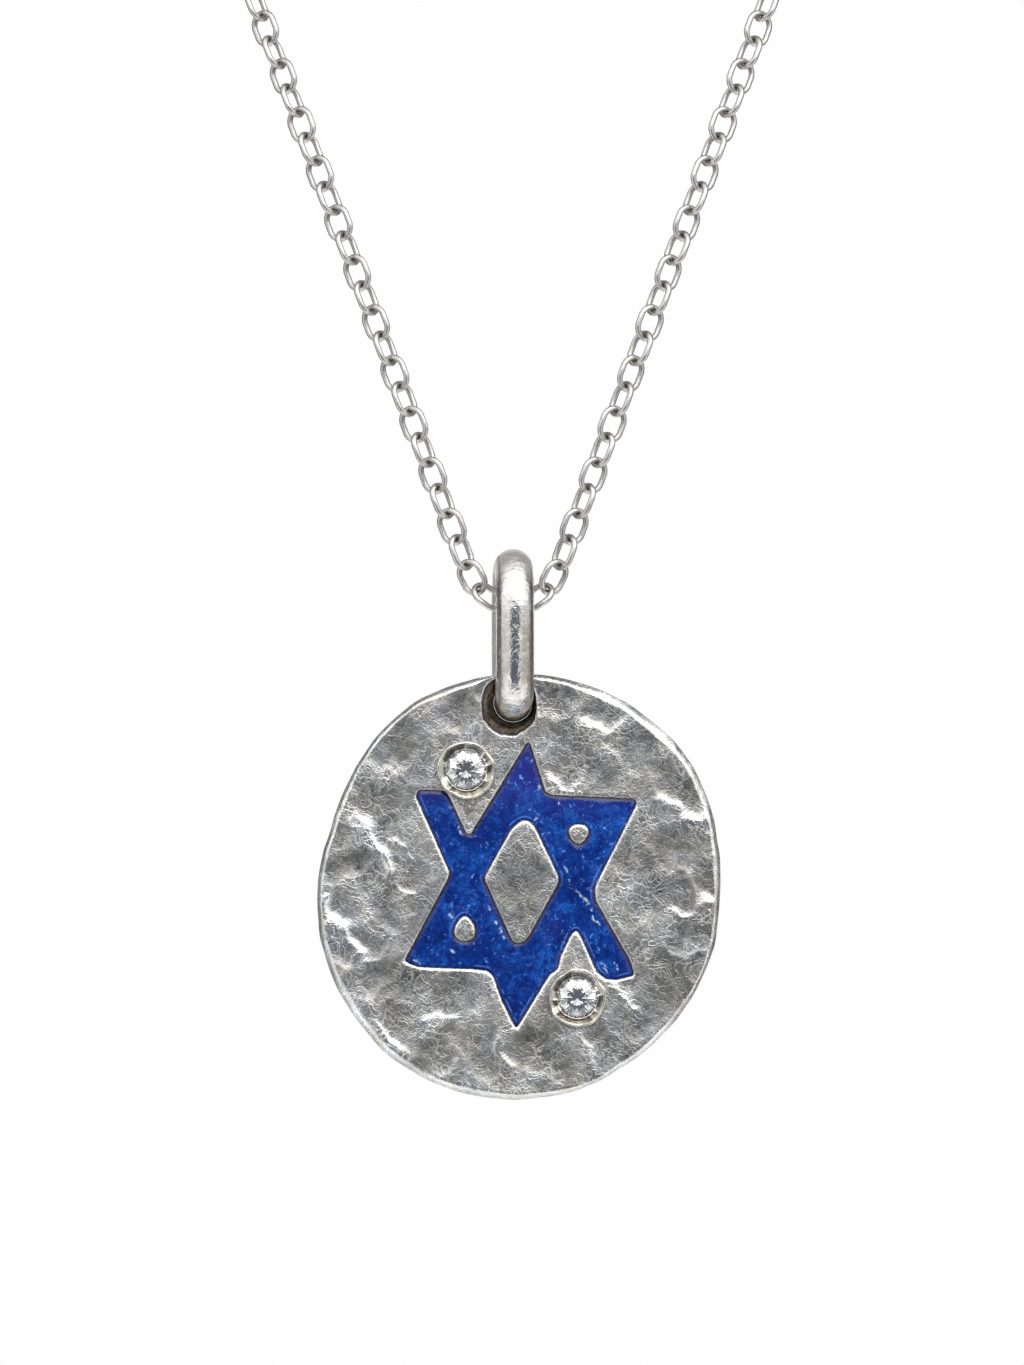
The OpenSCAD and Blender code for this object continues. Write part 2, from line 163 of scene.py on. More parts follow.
# Heights in metres between which the enamel turns violet towards its top
VIOLET_FROM_TO = -0.1065, -0.102
# Specks in the enamel: cells a metre, the random numbers between which one comes up, and how strongly
SPECKS = (2300, 0.74, 0.88, 0.95), (3600, 0.6, 0.84, 0.7)
# What a wire's haze leaves of its red, green and blue
HAZE_SHARES = 0.56, 0.52, 0.46

UPPER_SETTING = (-3.35, 7.33)
LOWER_SETTING = (3.6, -6.9)
# The pits under the stones, with a steep edge inside a flat seat
PIT_R, PIT_FLOOR, PIT_EDGE, PIT_SEAT = 1.34, -0.88, 0.08, 0.2
# Closed section of a collar: radius, height over the face
BEZEL_PROFILE = np.array([
    [1.5, -0.3], [1.8, -0.3], [1.83, 0], [1.83, 0.3], [1.815, 0.42], [1.785, 0.5], [1.745, 0.545],
    [1.7, 0.553], [1.67, 0.543], [1.64, 0.527], [1.56, 0.505], [1.46, 0.48], [1.36, 0.455], [1.325, 0.458],
    [1.285, 0.465], [1.25, 0.452], [1.225, 0.415], [1.3, 0.34], [1.31, 0.22], [1.2, 0.16], [1.02, 0],
    [1, -0.3], [1.24, -0.3],
])
# Patina of the collar by radius: radii, then values
LIP_PATINA = [1.24, 1.3, 1.36, 1.62, 1.68, 1.76, 1.82], [0.3, 0, 0.9, 0.75, 0.1, 0, 0.6]
BEZEL_STEPS, LIP_WAVES, LIP_UNEVEN = 220, (2, 3, 5, 7, 9, 13), 0.013
# Flats worked into the lips. Columns: where each starts, in degrees from +x, and its tilt.
UPPER_FLATS = np.array([
    [-60, -0.02], [-27, 0.04], [-4, -0.13], [14, 0.12], [24, -0.1], [42, 0.16], [60, 0.12], [92, -0.04],
    [156, 0.13], [200, 0.02], [228, -0.08], [262, -0.03],
])
LOWER_FLATS = np.array([
    [-75, -0.04], [-58, -0.12], [-34, -0.04], [-6, -0.11], [8, 0.12], [40, 0.16], [75, 0.14], [104, -0.04],
    [163, 0.12], [183, -0.12], [198, -0.04], [235, -0.08],
])
FLAT_CORNER = 1.4
# Angle over which an edge of a smooth piece stays sharp
BEND_ANGLE = 50

# Waves that bend the pale marks
MARK_BENDS = [(0.05, 3, 9, 0), (0.03, 0, 21, 0)], [(0.05, 8, -4, 0), (0.03, 23, 0, 0)]
# Pale marks in the enamel. Columns: x and y of one end, x and y of the other, half width.
MARKS = np.array([
    [3.85, -0.48, 4.25, -0.98, 0.075], [4.54, -1.85, 5.02, -2.32, 0.055], [4.52, -1.3, 4.56, -1.48, 0.05],
    [3.55, -0.2, 3.75, -0.38, 0.04], [2.85, 1.25, 2.95, 1.02, 0.05], [3.1, 0.45, 3.15, 0.35, 0.05],
    [-1.92, -1.15, -1.8, -1.45, 0.05], [-1.5, -2.1, -1.38, -2.32, 0.06],
    [-1.27, -2.5, -1.17, -2.75, 0.06], [-1.02, -3.05, -0.95, -3.2, 0.05], [-4.35, 5.05, -4.05, 4.92, 0.05],
    [-3.85, 3.75, -3.55, 3.3, 0.05], [-4.38, -1.68, -4.15, -1.95, 0.05], [1.2, 6.35, 1.27, 6.1, 0.06],
    [0.72, 7.9, 0.76, 7.82, 0.06], [-4.05, -4.02, -4.25, -3.9, 0.05], [-6.6, -4.55, -6.2, -4.72, 0.045],
    [5.95, -4.7, 6.08, -5.1, 0.04], [5.05, -4.65, 5.5, -5.25, 0.045], [2.3, 5.35, 2.42, 5.15, 0.05],
    [1.02, 4.28, 0.98, 4.25, 0.06],
])

# Steps of the nets and of the enamel's outline, and how far the nets are laid out
FRONT_STEP, BACK_STEP, ENAMEL_STEP, LOOP_STEP, NET_REACH = 0.092, 0.5, 0.07, 0.09, 14

# The bail: an oval ring of round wire, seen edge-on and turned a little
BAIL_H, BAIL_DEPTH, BAIL_WIRE, BAIL_MID, BAIL_YAW = 10.8, 7.8, 2.4, -1.93, 2
BAIL_STEPS, BAIL_SIDES = 176, 48
WIRE_WAVER = (0.006, 3, 1), (0.004, 8, 0)

# The chain
LINK_W, LINK_WIRE, LINK_PITCH, LINK_TURN = 1.94, 0.37, 1.71, 37
FRONT_LINKS = 28
# Each link hangs turned about its length by up to so many degrees, drawn at random
SWAY, SWAY_SEED = 4, 5
FIRST_RISES, SIDE_RUN, LEAN_BACK, BEND_SLACK = (35, 64), 0.372, 0.0051, 0.1
NAPE_BACK, NAPE_RISE, CHEST_PULL, NAPE_PULL = 118, 92, 64, 97
WAY_START, WAY_STOP, CLASP_REACH = 0.525, 0.15, 3.875
NECK_MIDDLE = np.array([0, NAPE_BACK / 2, NAPE_RISE - 40])
RING_HOLD, EYE_HOLD = 2.875, 3.375


def unit(v):
    """Each vector over its own length."""
    return v / np.linalg.norm(v, axis=-1, keepdims=True)


def even_angles(count, shift=0):
    """The angles of one turn in equal steps, from shift steps past zero."""
    return (np.arange(count) + shift) * TURN / count


def rays(angle):
    """Unit vectors (cos a, sin a)."""
    return np.stack([np.cos(angle), np.sin(angle)], -1)


def raised(points, height):
    """Flat points with a height each, or with one height for all."""
    return np.column_stack([points, np.broadcast_to(height, len(points))])


def climb(value, low, high):
    """(value - low) / (high - low), held between 0 and 1."""
    return np.clip((value - low) / (high - low), 0, 1)


def bell(value, middle, width):
    """exp(-((value - middle) / width)^2)."""
    return np.exp(-(((value - middle) / width) ** 2))


def off_stroke(points, a, b):
    """Distance from each point to the straight stroke from a to b."""
    side, to = b - a, points - a
    share = np.clip(to @ side / (side @ side), 0, 1)
    return np.linalg.norm(to - share[:, None] * side, axis=1)


def runs_left(loop):
    """Whether a closed outline runs anticlockwise, by the sign of its area."""
    after = np.roll(loop, -1, 0)
    return np.sum(loop[:, 0] * after[:, 1] - after[:, 0] * loop[:, 1]) > 0


def waves(rows, *along):
    """Sum of height x sin(k1 a1 + k2 a2 + start). A row holds the height, a k for each a, and the start."""
    return sum(high * np.sin(sum(k * a for k, a in zip(ks, along)) + start) for high, *ks, start in rows)


def evenly_along(line, step, closed):
    """Points about a step apart along a line, or round a closed one."""
    line = np.vstack([line, line[:1]]) if closed else line
    run = np.concatenate([[0], np.cumsum(np.linalg.norm(np.diff(line, axis=0), axis=1))])
    count = round(run[-1] / step)
    at = np.arange(count + (not closed)) * run[-1] / count
    return np.stack([np.interp(at, run, column) for column in line.T], -1)


def grid_faces(rows, cols):
    """Quads of a grid of points, row by row, closed both ways."""
    r, c = np.arange(rows)[:, None], np.arange(cols)[None, :]
    up, along = (r + 1) % rows, (c + 1) % cols
    corners = np.broadcast_arrays(r * cols + c, r * cols + along, up * cols + along, up * cols + c)
    return np.stack(corners, -1).reshape(-1, 4)


def signed_volume(points, faces):
    """Sum of a . (b x c) / 6 over the faces' triangles, fanned from their first corners."""
    fans = np.array([(f[0], f[k], f[k + 1]) for f in faces for k in range(1, len(f) - 1)])
    a, b, c = points[fans].swapaxes(0, 1)
    return np.einsum("ij,ij->", a, np.cross(b, c)) / 6


def in_scene(name, data):
    """A new object of the scene, with its data."""
    made = bpy.data.objects.new(name, data)
    bpy.context.scene.collection.objects.link(made)
    return made


def make_piece(name, points, faces, body, stands_for, finish, layers=None, sharp_over=None):
    """One closed mesh from points in millimetres. The sign of its volume tells which way its faces turn."""
    faces = [f for group in faces for f in np.asarray(group).tolist()]
    if signed_volume(points - points.mean(axis=0), faces) < 0:
        faces = [f[::-1] for f in faces]
    mesh = bpy.data.meshes.new(name)
    mesh.from_pydata((points * MM).tolist(), [], faces)
    mesh.polygons.foreach_set("use_smooth", np.full(len(mesh.polygons), sharp_over != 0))
    if sharp_over:
        mesh.set_sharp_from_angle(angle=math.radians(sharp_over))
    for layer, values in (layers or {}).items():
        kept = mesh.attributes.new(layer, "FLOAT", "POINT").data
        kept.foreach_set("value", values.ravel().astype(np.float32))
    mesh.materials.append(finish)
    mesh.update()
    piece = in_scene(name, mesh)
    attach(piece, body)
    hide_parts(*stands_for)


def upright(x, y, z):
    """The tag's flat drawing stood up: y becomes up, and z comes forward from the sheet's back."""
    return np.stack([TAG_X + x, TAG_T / 2 - z, TAG_Z + y], -1) + BAIL_AT


# Materials


class Nodes:
    """Adds nodes to a material or a world. A value is a number, a colour or another node's socket."""

    def __init__(self, owner):
        owner.use_nodes = True
        self.owner, self.tree = owner, owner.node_tree
        self.places = self.add("TexCoord").outputs
        self.where = self.places["Object"]

    def fill(self, made, inputs):
        """Links an input given as a socket, and sets any other."""
        for key, value in inputs.items():
            socket = made.inputs[key]
            if isinstance(value, bpy.types.NodeSocket):
                self.tree.links.new(value, socket)
            else:
                socket.default_value = (*value, 1) if socket.type == "RGBA" else value
        return made

    def add(self, kind, inputs=None, **settings):
        """A new node, with its settings and inputs."""
        made = self.tree.nodes.new("ShaderNode" + kind)
        for key, value in settings.items():
            setattr(made, key, value)
        return self.fill(made, inputs or {})

    def maths(self, operation, a, b=0, c=0, clamp=False):
        """One arithmetic step. Clamp holds it between 0 and 1."""
        inputs = {0: a, 1: b, 2: c}
        return self.add("Math", inputs, operation=operation, use_clamp=clamp).outputs[0]

    def times(self, first, *others, clamp=False):
        """The product of all the values."""
        for other in others:
            first = self.maths("MULTIPLY", first, other, clamp=clamp)
        return first

    def plus(self, total, *parts, clamp=False):
        """The first value, plus each part's value times its weight."""
        for number, (value, weight) in enumerate(parts, 1):
            total = self.maths("MULTIPLY_ADD", value, weight, total, clamp and number == len(parts))
        return total

    def spread(self, value, low, high, to_low=0, to_high=1):
        """Maps low..high to to_low..to_high, smoothly, and holds the ends."""
        inputs = {"Value": value, "From Min": low, "From Max": high, "To Min": to_low, "To Max": to_high}
        return self.add("MapRange", inputs, interpolation_type="SMOOTHSTEP").outputs["Result"]

    def mix(self, share, a, b, kind="MIX"):
        """Blend of two colours."""
        inputs = {0: share, 6: a, 7: b}
        return self.add("Mix", inputs, data_type="RGBA", blend_type=kind).outputs[2]

    def noise(self, scale, detail=3, rough=0.55, distortion=0):
        """Noise from 0 to 1, with features of about 1 / scale metres."""
        made = self.add("TexNoise", {"Vector": self.where, "Scale": scale, "Detail": detail})
        return self.fill(made, {"Roughness": rough, "Distortion": distortion}).outputs["Fac"]

    def curls(self, scale, width, distortion):
        """Fine curly scratches: 1 along the middle level of a twisted noise, 0 away from it."""
        level = self.noise(scale, 1.5, 0.5, distortion)
        return self.spread(self.maths("ABSOLUTE", self.plus(-0.5, (level, 1))), 0, width, 1, 0)

    def ramp(self, value, stops):
        """Colour ramp from (place, (r, g, b)) pairs."""
        made = self.add("ValToRGB", {"Fac": value})
        band = made.color_ramp
        while len(band.elements) < len(stops):
            band.elements.new(0.5)
        for element, (place, colour) in zip(band.elements, stops):
            element.position = place
            element.color = (*colour, 1)
        return made.outputs["Color"]

    def layer(self, name):
        """A number kept on the mesh's points."""
        return self.add("Attribute", attribute_name=name).outputs["Fac"]

    def bump(self, height, depth):
        """Bump of a height from 0 to 1 that stands for depth metres."""
        return self.add("Bump", {"Height": height, "Distance": depth}).outputs["Normal"]

    def shaded(self, inputs):
        """The finished material, with these inputs of its shader."""
        self.fill(self.tree.nodes["Principled BSDF"], inputs)
        return self.owner


def new_finish(name):
    """The nodes of a new material."""
    return Nodes(bpy.data.materials.new(name))


def hammered_silver():
    """Silver, grey in its hollows and worn bright on its ridges, with fine curly scratches. Its patina and
    wear also carry painted shade and highlight round the enamel's recess, and painted shade in the hole.
    """
    f = new_finish("hammered_silver")
    patina_and_shade, worn = f.layer("patina_and_shade"), f.layer("worn")
    broad, middle = f.noise(330, 3, 0.55, 0.8), f.noise(850, 2.5, 0.55, 1)
    grain = f.noise(4200, 2, 0.5)
    patchy = f.spread(f.noise(520, 2), 0.4, 0.6, 0.4, 1)
    fine_lines = f.times(f.curls(1400, 0.055, 1.3), 0.75)
    lines = f.times(f.maths("MAXIMUM", f.curls(760, 0.036, 1.5), fine_lines), patchy)
    dark_lines = f.curls(1050, 0.05, 1.4)
    stain_and_shade = f.spread(f.plus(patina_and_shade, (middle, 1.1)), 0.8, 1.4)
    stain_and_shade = f.times(stain_and_shade, f.spread(broad, 0.34, 0.56, 0.45, 1))
    stain_and_shade = f.maths("ADD", stain_and_shade, f.maths("MAXIMUM", f.plus(-1, (patina_and_shade, 1)), 0))
    tone = f.plus(
        -0.018, (broad, 0.54), (middle, 0.28), (grain, 0.14), (lines, 0.22), (dark_lines, -0.09),
        (stain_and_shade, -0.14), (worn, 0.5), clamp=True,
    )
    grey = f.ramp(tone, [
        (0, (0.022, 0.017, 0.012)), (0.14, (0.1, 0.092, 0.08)), (0.36, (0.33, 0.33, 0.325)),
        (0.62, (0.6, 0.6, 0.595)), (0.92, (0.97, 0.97, 0.965)),
    ])
    cool = f.spread(f.noise(430, 2, 0.5, 1), 0.4, 0.6, 0, 0.85)
    tint = f.mix(f.plus(cool, (stain_and_shade, 0.25), clamp=True), (1.025, 0.995, 0.93), (0.965, 0.985, 1.01))
    tint = f.mix(f.spread(patina_and_shade, 1, 1.5), tint, (1.07, 0.95, 0.82))
    height = f.plus(0, (middle, 0.5), (grain, 0.14), (lines, 0.28), (dark_lines, -0.16))
    return f.shaded({
        "Base Color": f.mix(1, grey, tint, "MULTIPLY"), "Metallic": 1,
        "Roughness": f.plus(0.34, (middle, 0.16), (worn, -0.2), clamp=True),
        "Normal": f.bump(height, 0.05 * MM),
    })


def bezel_gold():
    """Pale warm gold alloy, burnished by hand, with fine marks and bronze-brown grooves. The grooves' patina
    is darkened further as painted shade, by the way each flat of the lip faces.
    """
    f = new_finish("bezel_gold")
    marks, grain = f.noise(1500, 3, 0.6, 1.2), f.noise(6000, 2)
    tone = f.plus(0.46, (marks, 0.6), (f.layer("patina_and_shade"), -0.62), clamp=True)
    gold = f.ramp(tone, [
        (0.1, (0.13, 0.105, 0.075)), (0.38, (0.36, 0.325, 0.265)), (0.62, (0.62, 0.585, 0.51)),
        (0.9, (0.95, 0.93, 0.88)),
    ])
    return f.shaded({
        "Base Color": gold, "Metallic": 1, "Roughness": f.plus(0.16, (grain, 0.12)),
        "Normal": f.bump(f.plus(marks, (grain, 0.2)), 0.04 * MM),
    })


def blue_enamel():
    """Glassy cobalt enamel, mottled, with pale specks and marks under a clear surface. A broken pale line, a
    painted highlight, runs beside its lower edges, where the glass climbs the wall. Dark bands of painted
    shade run along its edges, widest at its upper edges."""
    f = new_finish("blue_enamel")
    edge, shade = f.layer("edge"), f.layer("shade")
    broad, grain = f.noise(600, 3, 0.6, 0.8), f.noise(3200, 3, 0.65)
    blue = f.ramp(f.plus(-0.5, (grain, 1), (broad, 1), clamp=True), [
        (0.27, (0.0007, 0.013, 0.138)), (0.5, (0.001, 0.029, 0.228)), (0.77, (0.002, 0.08, 0.41)),
    ])
    high = f.add("SeparateXYZ", {"Vector": f.where}).outputs["Z"]
    blue = f.mix(f.spread(high, *VIOLET_FROM_TO, 0, 0.55), blue, (0.034, 0.036, 0.29))
    blue = f.mix(f.spread(f.noise(380, 2), 0.54, 0.72, 0, 0.35), blue, (0.016, 0.03, 0.25))

    pale = f.times(f.curls(1500, 0.05, 2.4), f.spread(broad, 0.45, 0.62, 0, 0.18))
    twist = f.add("TexNoise", {"Vector": f.where, "Scale": 4600, "Detail": 1}).outputs["Color"]
    push = {0: twist, 1: (0.6 * MM,) * 3, 2: f.where}
    bent = f.add("VectorMath", push, operation="MULTIPLY_ADD").outputs[0]
    for scale, hidden_to, full_from, strength in SPECKS:
        cells = f.add("TexVoronoi", {"Vector": bent, "Scale": scale})
        chosen = f.add("SeparateColor", {"Color": cells.outputs["Color"]}).outputs["Red"]
        specks = f.times(
            f.spread(cells.outputs["Distance"], 0.1, 0.34, 1, 0), f.spread(grain, 0.36, 0.56, 0.25, 1),
            f.spread(chosen, hidden_to, full_from, 0, strength),
        )
        pale = f.maths("MAXIMUM", pale, specks)
    # Painted highlight: a broken pale line beside the enamel's lower edges, where the glass climbs the wall
    rise = f.times(
        f.spread(edge, 0.12, 0.18), f.spread(edge, 0.19, 0.27, 1, 0),
        f.spread(f.noise(1100, 2), 0.47, 0.6, 0, 0.5), f.plus(1, (shade, -1)),
    )
    blue = f.mix(f.maths("MAXIMUM", pale, rise), blue, (0.16, 0.36, 0.95))
    ragged = f.spread(f.noise(3600, 2, 0.5, 1), 0.36, 0.56)
    blue = f.mix(f.times(f.layer("marks"), ragged, clamp=True), blue, (0.58, 0.78, 1))

    # Painted shade: dark bands along the enamel's edge, a thin one all round and a wide one at its upper
    # edges
    wide = f.times(f.spread(edge, 0.06, 0.3, 0.85, 0), shade)
    thin = f.times(f.spread(edge, 0.03, 0.17, 0.95, 0), f.plus(0.3, (shade, 0.9), clamp=True))
    blue = f.mix(thin, f.mix(wide, blue, (0.018, 0.011, 0.12)), (0.005, 0.004, 0.055))
    normal = f.bump(f.plus(f.noise(1900, 2, 0.5, 0.6), (grain, 0.3)), 0.05 * MM)
    return f.shaded({
        "Base Color": blue, "Roughness": 0.5, "Specular IOR Level": 0, "Coat Weight": 1,
        "Coat Roughness": 0.05, "Normal": normal, "Coat Normal": normal,
    })


def clear_stone():
    """Colourless, highly refracting stone, polished."""
    f = new_finish("clear_stone")
    clear = f.mix(f.spread(f.noise(900, 2), 0.3, 0.7), (0.96, 0.975, 1), (1, 1, 1))
    return f.shaded({"Base Color": clear, "Roughness": 0, "IOR": 2.2, "Transmission Weight": 1})


def wire_silver(name, colour, rough, ripple, tarnish_and_shade_colour):
    """Polished silver wire. Tarnish and painted shade turn it brown and duller, haze greys it in blotches,
    and the dull layer makes it matt. Ripple is the depth of its unevenness in metres."""
    f = new_finish(name)
    smudge, grain = f.noise(900, 4, 0.6, 0.7), f.noise(4200, 3, 0.6)
    brown = f.times(f.layer("tarnish_and_shade"), f.spread(smudge, 0.3, 0.62, 0.45, 1), clamp=True)
    haze = f.times(f.layer("haze"), f.spread(f.noise(1500, 4, 0.65, 0.8), 0.36, 0.6, 0.35, 1))
    clean = f.mix(f.spread(smudge, 0.35, 0.7), tuple(0.8 * c for c in colour), colour)
    clean = f.mix(haze, clean, tuple(c * share for c, share in zip(colour, HAZE_SHARES)))
    return f.shaded({
        "Base Color": f.mix(brown, clean, tarnish_and_shade_colour), "Metallic": 1,
        "Roughness": f.plus(rough, (grain, 0.1), (f.layer("dull"), 0.3), (haze, 0.14), (brown, 0.22)),
        "Normal": f.bump(f.plus(smudge, (f.noise(1900, 3), 0.9), (grain, 0.4)), ripple),
    })


SILVER = hammered_silver()
GOLD = bezel_gold()
ENAMEL = blue_enamel()
STONE = clear_stone()
# The last colour of each wire is the brown of its tarnish and painted shade: on the bail, tarnish on its
# flanks and painted shade at its bottom in the tag's hole; on the chain, painted shade inside the links'
# bends
BAIL_SILVER = wire_silver("bail_silver", (0.88, 0.87, 0.85), 0.08, 0.06 * MM, (0.25, 0.135, 0.095))
CHAIN_SILVER = wire_silver("chain_silver", (0.72, 0.705, 0.67), 0.31, 0.02 * MM, (0.17, 0.14, 0.105))


# Shapes of the tag, in its flat drawing


def outline_radius(angle):
    """Radius of the tag's outline: the mean radius, plus height x cos(k x (angle - crest)) for each wave."""
    radius = np.full_like(angle, OUTLINE_R)
    for k, height, crest in np.vstack([OUTLINE_WAVES, RIM_RIPPLES]):
        radius += height * np.cos(k * (angle - math.radians(crest)))
    return radius


def mouth_radius(angle):
    """Edge of the hole's mouth: (|cos a / w|^n + |sin a / h|^n)^(-1/n), squarer above and ragged below."""
    high = np.where(np.sin(angle) > 0, MOUTH_ABOVE, MOUTH_BELOW)
    power = 2.35 + 0.45 * np.sin(angle)
    whole = np.abs(np.cos(angle) / MOUTH_HALF) ** power + np.abs(np.sin(angle) / high) ** power
    return whole ** (-1 / power) + waves(MOUTH_RAGGED, angle) * np.clip(0.3 - np.sin(angle), 0, 1)


def soften(corners, cut):
    """Rounds each corner of a closed outline with the parabola that touches both sides at the cut."""
    t = np.linspace(0, 1, 5)[None, :, None]
    ends = []
    for other in (np.roll(corners, 1, 0), np.roll(corners, -1, 0)):
        reach = np.minimum(cut, 0.35 * np.linalg.norm(other - corners, axis=1))[:, None]
        ends.append((corners + unit(other - corners) * reach)[:, None])
    return ((1 - t) ** 2 * ends[0] + 2 * (1 - t) * t * corners[:, None] + t ** 2 * ends[1]).reshape(-1, 2)


def egg(x, y, half_w, half_h, taper):
    """x + half_w cos(a) (1 - taper sin(a)), y + half_h sin(a), for a once round."""
    a = -even_angles(EGG_POINTS)
    return np.stack([x + half_w * np.cos(a) * (1 - taper * np.sin(a)), y + half_h * np.sin(a)], -1)


def signed_distance(points, loop):
    """Distance to a closed outline, less than 0 inside, where a ray to the right meets it an odd number of
    times."""
    nearest = np.full(len(points), np.inf)
    inside = np.zeros(len(points), bool)
    for a, b in zip(loop, np.roll(loop, -1, 0)):
        nearest = np.minimum(nearest, off_stroke(points, a, b))
        spans = (a[1] > points[:, 1]) != (b[1] > points[:, 1])
        run, rise = b - a
        inside ^= spans & (points[:, 0] < a[0] + (points[:, 1] - a[1]) * run / (rise or 1))
    return np.where(inside, -nearest, nearest)


STAR = soften(STAR_CORNERS, CORNER_CUT)
ISLANDS = [soften(MIDDLE_ISLAND, ISLAND_CUT)] + [egg(*row) for row in SMALL_ISLANDS]


def from_enamel(points):
    """Distance from the enamel's edge: less than 0 in the enamel, more than 0 in the silver."""
    d = signed_distance(points, STAR)
    for island in ISLANDS:
        d = np.maximum(d, -signed_distance(points, island))
    return d


def rise_to_enamel(points, edge):
    """How far the way to the enamel's edge points up: minus the distance's slope with height, -1 to 1."""
    step = 0.02
    return np.clip((edge - from_enamel(points + [0, step])) / step, -1, 1)


def beside(loop, distance, outwards):
    """Points at a distance outside or inside a closed outline, thinned where they crowd in a corner."""
    even = evenly_along(loop, WALL_STEP, closed=True)
    ahead = unit(np.roll(even, -1, 0) - np.roll(even, 1, 0))
    to_right = np.stack([ahead[:, 1], -ahead[:, 0]], -1)
    moved = even + (distance if runs_left(even) == outwards else -distance) * to_right
    return moved[np.abs(from_enamel(moved) - distance) < 0.01]


def hex_points(step, keep):
    """Points of a regular triangular net with sides of one step, where keep() says so."""
    rows = np.arange(-NET_REACH, NET_REACH, step * math.sqrt(0.75))
    x, y = np.meshgrid(np.arange(-NET_REACH, NET_REACH, step), rows)
    x = x + (np.arange(len(rows)) % 2)[:, None] * step / 2
    points = np.stack([x.ravel(), y.ravel()], -1)
    return points[keep(points)]


def flat_net(loops, inner, wanted):
    """Triangles of a flat region with closed loops as its edges, other points in inner, and wanted() to tell
    by a triangle's middle if it is in the region. A triangle that fills a notch of the outer loop joins three
    points of that loop and turns against it. The points stay in order: the loops, then inner."""
    every = np.vstack([*loops, inner])
    edges, start = [], 0
    for loop in loops:
        i = start + np.arange(len(loop))
        edges += np.stack([i, np.roll(i, -1)], -1).tolist()
        start += len(loop)
    made = delaunay_2d_cdt([Vector(p) for p in every.tolist()], edges, [], 1, 1e-6, False)
    points, triangles = np.array([tuple(p) for p in made[0]]), np.array(made[2])
    if len(points) != len(every) or np.abs(points - every).max() > 1e-4:
        raise ValueError("two points of a net fell together")
    a, b, c = triangles.T
    in_order = (a < b).astype(int) + (b < c) + (c < a) == 2
    notch = (triangles < len(loops[0])).all(axis=1) & (in_order != runs_left(loops[0]))
    return points, triangles[~notch & wanted(points[triangles].mean(axis=1))]


def pushed(points, sideways, upwards):
    """The points pushed about by crossing waves, so that what is drawn on them comes out uneven."""
    x, y = points.T
    return points + np.stack([waves(sideways, x, y), waves(upwards, x, y)], -1)


def struck(points):
    """Height of the struck face, and how sharply blows meet there. A blow is a bowl, depth x (q^2 - 1) with q
    the share of its radius. The face is their lowest, blended: -s log(1 + sum of exp(-bowl / s))."""
    x, y = pushed(points, *WANDER).T
    rng = np.random.default_rng(BLOW_SEED)
    at = rng.uniform(-BLOW_REACH, BLOW_REACH, (SMALL_BLOWS, 2))
    size, depth = rng.uniform(0.6, 1.6, SMALL_BLOWS), rng.uniform(0.008, 0.038, SMALL_BLOWS)
    known = HOLLOWS * [1, 1, HOLLOW_WIDER, HOLLOW_DEEPER]
    rows = np.vstack([known, np.column_stack([at, size, depth])])
    stretch, lean = rng.uniform(0.75, 1.35, len(rows)), rng.uniform(0, math.pi, len(rows))
    total, most = np.ones(len(points)), np.ones(len(points))
    for (cx, cy, r, d), s, a in zip(rows, stretch, lean):
        u = (x - cx) * math.cos(a) + (y - cy) * math.sin(a)
        v = (y - cy) * math.cos(a) - (x - cx) * math.sin(a)
        bowl = d * (u * u / (s * s) + v * v * s * s) / (r * r) - d
        share = np.exp(-np.maximum(bowl, -0.3) / BLOW_BLEND)
        total += share
        most = np.maximum(most, share)
    return -BLOW_BLEND * np.log(total), np.clip(2 * (1 - most / total), 0, 1)


def along_ridges(points, wider):
    """The greatest of the ridges at each point, height x exp(-(distance / (wider x half width))^2)."""
    at = pushed(points, *WANDER)
    rises = [row[5] * bell(off_stroke(at, row[:2], row[2:4]), 0, wider * row[4]) for row in RIDGES]
    return np.max(rises, axis=0)


def relief(points):
    """Height of the hammered front over its plane: the blows go down, and the ridges between them up."""
    return struck(points)[0] + RIDGE_SHARE * along_ridges(points, RIDGE_WIDER) + FACE_RISE


def front_height(points):
    """Front of the sheet: the relief, less the recess for the enamel and the pits under the stones."""
    edge = from_enamel(points)
    fade = np.clip(edge / BESIDE_WIDTH, BESIDE_SHARE, 1)
    height = relief(points) * fade + np.interp(edge, WALL_AT, WALL_Z)
    for at in (UPPER_SETTING, LOWER_SETTING):
        r = np.linalg.norm(points - at, axis=1)
        pit = np.interp(r, [PIT_R, PIT_R + PIT_EDGE], [PIT_FLOOR, 0])
        height = np.where(r < PIT_R + PIT_SEAT, pit, height)
    return TAG_T + height


def gap(points, others):
    """Distance from each point to the nearest of the others."""
    return np.linalg.norm(points[:, None] - others[None], axis=2).min(axis=1)


def edge_rings(section, base, away, width, z_from, z_to):
    """Rings from the base out by the width and from z_from to z_to, by a section's shares."""
    fall = z_to - z_from
    return [raised(base + away * (width * out)[:, None], z_from + fall * down) for out, down in section]


def radius_towards(points, radii):
    """Radius of a closed outline towards each point, from its radii at even angles."""
    return np.interp(np.arctan2(points[:, 1], points[:, 0]), even_angles(len(radii)), radii, period=TURN)


def between(rim, centre, hole):
    """A test of points: at least a step inside the rim and outside the hole."""
    rim_r, hole_r = np.linalg.norm(rim, axis=1), np.linalg.norm(hole - centre, axis=1)

    def test(points, step=0):
        from_hole = points - centre
        within = np.linalg.norm(points, axis=1) < radius_towards(points, rim_r) - step
        return within & (np.linalg.norm(from_hole, axis=1) > radius_towards(from_hole, hole_r) + step)
    return test


